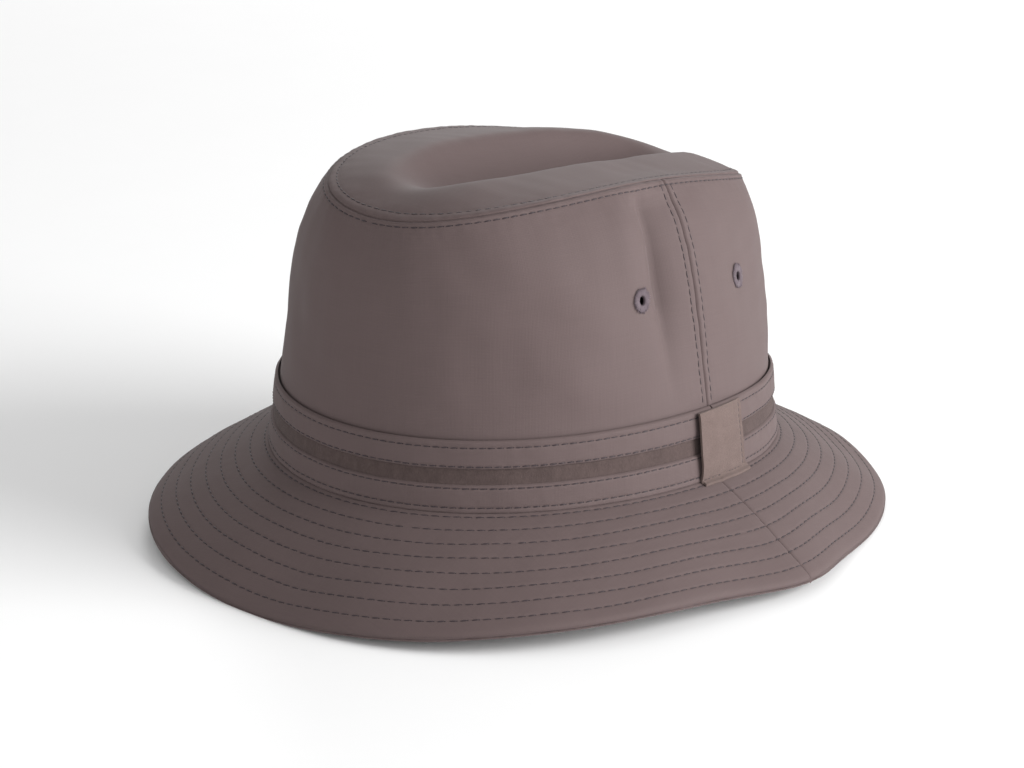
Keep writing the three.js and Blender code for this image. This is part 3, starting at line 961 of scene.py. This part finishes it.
class HAT_OT_eyelets(bpy.types.Operator):
    """Embroider the four eyelets over the ears"""

    bl_idname = "hat.eyelets"
    bl_label = "Eyelets"

    def execute(self, context):
        sizes, made = context.scene.hat_sizes, finishes()
        for name, (angle, rise) in EYELETS.items():
            share = rise / float(wall_height(np.array(angle)))
            points, outs = seam_path(shell_point, np.array([angle]), np.array([share]), 0)
            mesh = self.embroider(name, sizes)
            out = Vector(outs[0])
            up = (Vector((0, 0, 1)) - out * out.z).normalized()
            turn = Matrix((up.cross(out), up, out)).transposed().to_4x4()
            mesh.transform(Matrix.Translation(points[0]) @ turn)
            mesh.shade_smooth()
            piece = to_object(f"eyelet_{name}_embroidery", mesh)
            finish_piece(piece, made["eyelet_satin"], f"eyelet_{name}")
        return {"FINISHED"}

    def embroider(self, name, sizes):
        """A washer of padding with satin stitches over it, fanned round the hole."""
        draw = random.Random(name)
        hole, rim = sizes.eyelet_hole, sizes.eyelet_radius
        bm = bmesh.new()
        foot, top = [(hole * 1.04, -0.0006), (rim * 0.93, -0.0006)], [(rim * 0.72, 0.0004), (hole * 1.12, 0.0003)]
        verts = [bm.verts.new((x, 0, z)) for x, z in (*foot, (rim * 0.95, 0.00005), *top)]
        edges = [bm.edges.new((verts[i], verts[(i + 1) % len(verts)])) for i in range(len(verts))]
        bmesh.ops.spin(bm, geom=verts + edges, cent=(0, 0, 0), axis=(0, 0, 1), angle=math.tau, steps=48, use_merge=True)
        bmesh.ops.remove_doubles(bm, verts=bm.verts[:], dist=1e-6)
        bmesh.ops.recalc_face_normals(bm, faces=bm.faces[:])
        stitch = thread_mesh()
        middle, length = (hole + rim) / 2, rim - hole
        width, fullness, above = 0.00058, 0.00075, 0.00028
        for k in range(sizes.eyelet_threads):
            turn = math.tau * (k + draw.uniform(-0.14, 0.14)) / sizes.eyelet_threads
            reach = length * draw.uniform(1.0, 1.3)
            size = Matrix.Diagonal((reach, width * draw.uniform(0.9, 1.1), fullness, 1))
            lean = Matrix.Rotation(draw.uniform(-0.07, 0.07), 4, "Z")
            out = Matrix.Translation((middle + (reach - length) / 2, 0, above))
            add_shape(bm, stitch, Matrix.Rotation(turn, 4, "Z") @ out @ lean @ size)
        bpy.data.meshes.remove(stitch)
        return mesh_of(bm, f"eyelet_{name}_embroidery")


class HAT_OT_brim(bpy.types.Operator):
    """Lay the brim's top cloth, stiffener and under cloth"""

    bl_idname = "hat.brim"
    bl_label = "Brim"

    def execute(self, context):
        by_edge = [0.972, 0.982, 0.99, 0.996]
        rows = np.unique(np.concatenate([[-1, -0.5], spread(0, 1, 0.022, BRIM_ROWS, 0.02), by_edge]))
        inner_rows = np.concatenate([[-1], np.linspace(0, 0.955, 24)])
        cut = plan_cut(brim_point)
        for half, span in HALVES.items():
            columns = half_columns(span, 1.25)
            for kind, layers, place in (("top", BRIM_TOP, brim_top_point), ("under", BRIM_UNDER, brim_under_point)):
                node = f"brim_{kind}_{half}"
                lay(f"{node}_cloth", "shell_weave", node, "shell_cloth", columns, rows, layers, place, cut)
            node = f"brim_stiffener_{half}"
            felt = half_columns(span, 5), inner_rows, BRIM_STIFFENER, brim_inner_point, cut
            lay(f"{node}_felt", "brim_stiffener_felt", node, "stiffener", *felt)
        return {"FINISHED"}


class HAT_OT_brim_stitching(bpy.types.Operator):
    """Sew the rows of stitching round the brim, top and underside"""

    bl_idname = "hat.brim_stitching"
    bl_label = "Brim stitching"

    def execute(self, context):
        sizes = context.scene.hat_sizes
        turn, start_on = np.linspace(0, math.tau, 1200), 0.37
        for name, place, layer in (("top", brim_top_point, 0.0), ("under", brim_under_point, BRIM_UNDER[0])):
            paths = []
            for i, row in enumerate(BRIM_ROWS):
                points, outs = seam_path(place, turn + start_on * i, row, layer)
                paths.append((points, outs if name == "top" else -outs))
            sew(f"brim_{name}_stitching", paths, sizes.brim_pitch, BRIM_STITCH, sizes.thread, 21)
        return {"FINISHED"}


class HAT_OT_hatband(bpy.types.Operator):
    """Wrap the ribbon and its two folded strips round the crown and stitch them"""

    bl_idname = "hat.hatband"
    bl_label = "Hatband"

    def execute(self, context):
        sizes = context.scene.hat_sizes
        columns = once_round(LEFT, JOIN_GAP, 460)
        top, low, high = sizes.band_height / MM, sizes.window_low / MM, sizes.window_high / MM
        rows = spread(1.5, top - 1.5, 0.8)
        lay("hatband_ribbon", "ribbon_nap", "hatband_tape", "ribbon", columns, rows, BAND_TAPE, rise_point, rise_cut)
        lower, upper = (BAND_FOOT, low), (high, top)
        for name, span in (("lower", lower), ("upper", upper)):
            rows = spread(*span, 0.8, [r for r in BAND_ROWS if span[0] < r < span[1]], 0.9)
            rows = np.unique(np.concatenate([rows, by_ends(*span, (0.1, 0.25, 0.5, 0.8))]))
            node = f"hatband_{name}_strip"
            strip = columns, rows, BAND_STRIP, strip_placer(*span), rise_cut
            lay(f"{node}_cloth", "shell_weave", node, "shell_cloth", *strip)
        turn = once_round(LEFT, 1, 1000)
        paths = []
        for row in BAND_ROWS:
            span = lower if row < low else upper
            paths.append(seam_path(strip_placer(*span), turn, row, BAND_STRIP[1]))
        sew("hatband_stitching", paths, sizes.seam_pitch, CROWN_STITCH, sizes.thread, 31)
        return {"FINISHED"}


class HAT_OT_label_tab(bpy.types.Operator):
    """Fold the suede tab over the hatband's join and stitch it down"""

    bl_idname = "hat.label_tab"
    bl_label = "Label tab"

    def execute(self, context):
        sizes = context.scene.hat_sizes
        width = sizes.tab_width / MM
        front, rear = LEFT + arc(TAB_BEHIND_SEAM - width / 2), LEFT + arc(TAB_BEHIND_SEAM + width / 2)

        def lift(angle, rise):
            """The tab stands off the band along its front edge and is sewn down along its rear and foot."""
            forward = np.clip((rear - angle) / (rear - front), 0, 1)
            off = TAB_STANDS_OFF * forward**1.5 * fade_in(rise, -1, 7)
            from_rear = (rear - angle) * BRIM_RADII[0]
            sewn = hollow(from_rear - TAB_ROW_BEHIND, *TAB_ROW) + hollow(rise - TAB_ROW_LOW, *TAB_ROW)
            return off + sewn + 0.05 * RUMPLE(angle, rise * 1.3) - 0.3 * fade_in(rise, 23, 25)

        def place(angle, rise, layer):
            return rise_point(angle, rise, layer + lift(angle, rise))

        tab = np.linspace(front, rear, 40), np.linspace(*TAB_RISE, 44), TAB, place, rise_cut
        lay("label_tab_suede", "tab_nap", "label_tab", "tab_suede", *tab)
        self.turn_foot(front, rear)
        down = np.linspace(1.2, 24.2, 80)
        along = np.linspace(front + arc(0.5), rear - arc(0.5), 60)
        behind, low = (rear - arc(TAB_ROW_BEHIND), down), (along, TAB_ROW_LOW)
        paths = [seam_path(place, *line, TAB[1]) for line in (behind, low)]
        sew("label_tab_stitching", paths, TAB_PITCH, TAB_STITCH, sizes.thread * 0.8, 41)
        return {"FINISHED"}

    def turn_foot(self, front, rear):
        """The tab's foot is turned out on to the brim as a narrow flap."""

        def place(angle, out, layer):
            share = out / BRIM_WIDTH
            return brim_point(angle, share, layer + brim_relief(angle, share) + 0.5 * np.exp(-((out / 1.2) ** 2)))

        columns = np.linspace(front + arc(0.4), rear + arc(1.2), 36)
        flap = columns, np.linspace(*TAB_FOOT_RUN, 9), TAB_FOOT, place, rise_cut
        lay("label_tab_foot", "tab_nap", None, "tab_suede", *flap)


class HAT_OT_lining(bpy.types.Operator):
    """Line the crown and tape its seams"""

    bl_idname = "hat.lining"
    bl_label = "Lining and seam tapes"

    def execute(self, context):
        slack, flat_slack = round_waves(17, 24), waves(17, 24)

        def hang(angle, share, layer):
            ease = 0.35 * slack(angle, share * CUT_HEIGHT) * fade_in(1 - share, 0, 0.2)
            return inside_point(angle, share, layer - 0.3 + ease * fade_in(share, 0.3, 0.5))

        for half, span in HALVES.items():
            side = half_columns(span, 3), np.linspace(0.006, 0.965, 46), LINING, hang, wall_cut
            lay(f"lining_side_{half}_cloth", "lining_satin", f"lining_side_{half}", "lining_cloth", *side)

        def crown(angle, share, layer):
            out = share * 60
            return tip_point(angle, share, layer + 0.3 * flat_slack(out * np.sin(angle), out * np.cos(angle)))

        angles = np.linspace(-math.pi, math.pi, 145)
        rows = np.concatenate([[0.004], np.linspace(0.05, 0.965, 34)])
        piece = cloth("lining_tip_cloth", angles, rows, TIP_LINING, crown, plan_cut(tip_point))
        self.close_round(piece)
        finish_piece(piece, finishes()["lining_satin"], "lining_tip")
        for side, seam in (("left", LEFT), ("right", RIGHT)):
            columns = np.linspace(seam - arc(6), seam + arc(6), 14)
            tape = columns, np.linspace(0.1, 0.93, 60), SEAM_TAPE, inside_point, wall_cut
            lay(f"side_seam_tape_{side}_twill", "seam_tape_twill", f"side_seam_tape_{side}", "seam_tape", *tape)
        tape = once_round(-BACK, JOIN_GAP, 200), np.linspace(0.4, 8, 6), SEAM_TAPE, rise_point, rise_cut
        lay("base_seam_tape_twill", "seam_tape_twill", "base_seam_tape", "seam_tape", *tape)
        return {"FINISHED"}

    def close_round(self, piece):
        """Joins the strip's two ends behind, leaving a pinhole in the middle where the cloth gathers."""
        bm = bmesh.new()
        bm.from_mesh(piece.data)
        bmesh.ops.remove_doubles(bm, verts=bm.verts[:], dist=1e-6)
        seen = {}
        for face in bm.faces:
            seen.setdefault(frozenset(v.index for v in face.verts), []).append(face)
        twins = [f for same in seen.values() if len(same) > 1 for f in same]
        bmesh.ops.delete(bm, geom=twins, context="FACES_ONLY")
        bm.to_mesh(piece.data)
        bm.free()


class HAT_OT_sweatband(bpy.types.Operator):
    """Sew in the sweatband, its join tape and the blank size label"""

    bl_idname = "hat.sweatband"
    bl_label = "Sweatband"

    def execute(self, context):
        sizes = context.scene.hat_sizes
        height = sizes.sweatband_height / MM

        def place(angle, rise, layer):
            ease = 0.25 * RUMPLE(angle, rise) * fade_in(rise, 2, 20)
            roll = 0.5 * np.exp(-((rise / 2.2) ** 2)) + hollow(rise - SWEATBAND_ROW, -0.25, 0.6)
            return rise_point(angle, rise, layer + ease * 0.6 + np.where(layer < -3.6, roll * 0.4, 0))

        columns, rows = once_round(-BACK, JOIN_GAP, 420), spread(0.4, height, 1.1, [SWEATBAND_ROW], 1.0)
        band = columns, rows, SWEATBAND, place, rise_cut
        lay("sweatband_knit_band", "sweatband_knit", "sweatband", "sweatband_cloth", *band)
        columns = np.linspace(BACK - arc(5, BACK), BACK + arc(5, BACK), 12)
        tape = columns, np.linspace(1, height - 1, 20), SWEATBAND_LABEL, place, rise_cut
        lay("sweatband_join_tape_twill", "seam_tape_twill", "sweatband_join_tape", "seam_tape", *tape)
        step = arc(14, BACK)
        columns = np.linspace(BACK + 1.6 * step, BACK + 2.6 * step, 14)
        label = columns, np.linspace(*LABEL_RISE, 16), SWEATBAND_LABEL, place, rise_cut
        lay("size_label_blank", "seam_tape_twill", "size_label", "seam_tape", *label)
        points, outs = seam_path(place, once_round(-BACK, 1, 900), SWEATBAND_ROW, SWEATBAND[0])
        row = [(points, -outs)]
        sew("sweatband_stitching", row, sizes.seam_pitch, CROWN_STITCH, sizes.thread, 51)
        return {"FINISHED"}


class HAT_OT_stage(bpy.types.Operator):
    """Set the pale floor, the soft lights and the camera"""

    bl_idname = "hat.stage"
    bl_label = "Stage"

    def execute(self, context):
        self.lay_floor()
        self.hang_lights()
        self.set_camera(context)
        world = bpy.data.worlds.new("soft_daylight")
        world.use_nodes = True
        background = world.node_tree.nodes["Background"]
        background.inputs["Color"].default_value = (1, 1, 1, 1)
        background.inputs["Strength"].default_value = DAYLIGHT
        context.scene.world = world
        context.scene.view_settings.view_transform = "Standard"
        return {"FINISHED"}

    def lay_floor(self):
        bm = bmesh.new()
        bmesh.ops.create_grid(bm, x_segments=8, y_segments=8, size=FLOOR_HALF_WIDTH)
        floor = to_object("floor", mesh_of(bm, "floor"))
        floor.data.materials.append(pale_floor())

    def hang_lights(self):
        for name, place, size, power in LAMPS:
            data = bpy.data.lights.new(name, "AREA")
            data.shape, data.size, data.energy = "SQUARE", size, power
            lamp = bpy.data.objects.new(name, data)
            lamp.location = place
            lamp.rotation_euler = (Vector(LAMPS_FACE) - lamp.location).to_track_quat("-Z", "Y").to_euler()
            bpy.context.scene.collection.objects.link(lamp)

    def set_camera(self, context):
        """A long lens, from the front left of the wearer and a little above, tipped slightly."""
        right = np.array([math.cos(AZIMUTH), math.sin(AZIMUTH), 0])
        ahead = np.array([math.sin(AZIMUTH), -math.cos(AZIMUTH), 0])
        back = ahead * math.cos(ELEVATION) + np.array([0, 0, math.sin(ELEVATION)])
        up = np.cross(back, right)
        level, upright = right * math.cos(ROLL) + up * math.sin(ROLL), up * math.cos(ROLL) - right * math.sin(ROLL)
        data = bpy.data.cameras.new("camera")
        data.sensor_width, data.lens = SENSOR, LENS
        data.shift_x, data.shift_y = LENS_SHIFT
        camera = bpy.data.objects.new("camera", data)
        axes = [Vector(tilted(v)) for v in (level, upright, back)]
        camera.matrix_world = Matrix.Translation(stood(back * CAMERA_DISTANCE_MM)) @ Matrix(axes).transposed().to_4x4()
        bpy.context.scene.collection.objects.link(camera)
        context.scene.camera = camera


STEPS = (
    HAT_OT_stage,
    HAT_OT_crown,
    HAT_OT_crown_stitching,
    HAT_OT_eyelets,
    HAT_OT_brim,
    HAT_OT_brim_stitching,
    HAT_OT_hatband,
    HAT_OT_label_tab,
    HAT_OT_lining,
    HAT_OT_sweatband,
)


class HAT_PT_panel(bpy.types.Panel):
    """Sizes, colours and the pieces in sewing order"""

    bl_idname = "HAT_PT_panel"
    bl_label = "Fabric hat"
    bl_space_type = "VIEW_3D"
    bl_region_type = "UI"
    bl_category = "Hat"

    def draw(self, context):
        for group in (context.scene.hat_sizes, context.scene.hat_colours):
            box = self.layout.box()
            for name in group.__annotations__:
                box.prop(group, name)
        for step in STEPS:
            self.layout.operator(step.bl_idname)


CLASSES = (HatSizes, HatColours, *STEPS, HAT_PT_panel)


def register():
    for cls in CLASSES:
        bpy.utils.register_class(cls)
    bpy.types.Scene.hat_sizes = PointerProperty(type=HatSizes)
    bpy.types.Scene.hat_colours = PointerProperty(type=HatColours)


def unregister():
    del bpy.types.Scene.hat_colours
    del bpy.types.Scene.hat_sizes
    for cls in reversed(CLASSES):
        bpy.utils.unregister_class(cls)


def main():
    register()
    for step in STEPS:
        group, name = step.bl_idname.split(".")
        if getattr(getattr(bpy.ops, group), name)() != {"FINISHED"}:
            raise RuntimeError(f"{step.bl_label} did not finish")


if __name__ == "__main__":
    main()
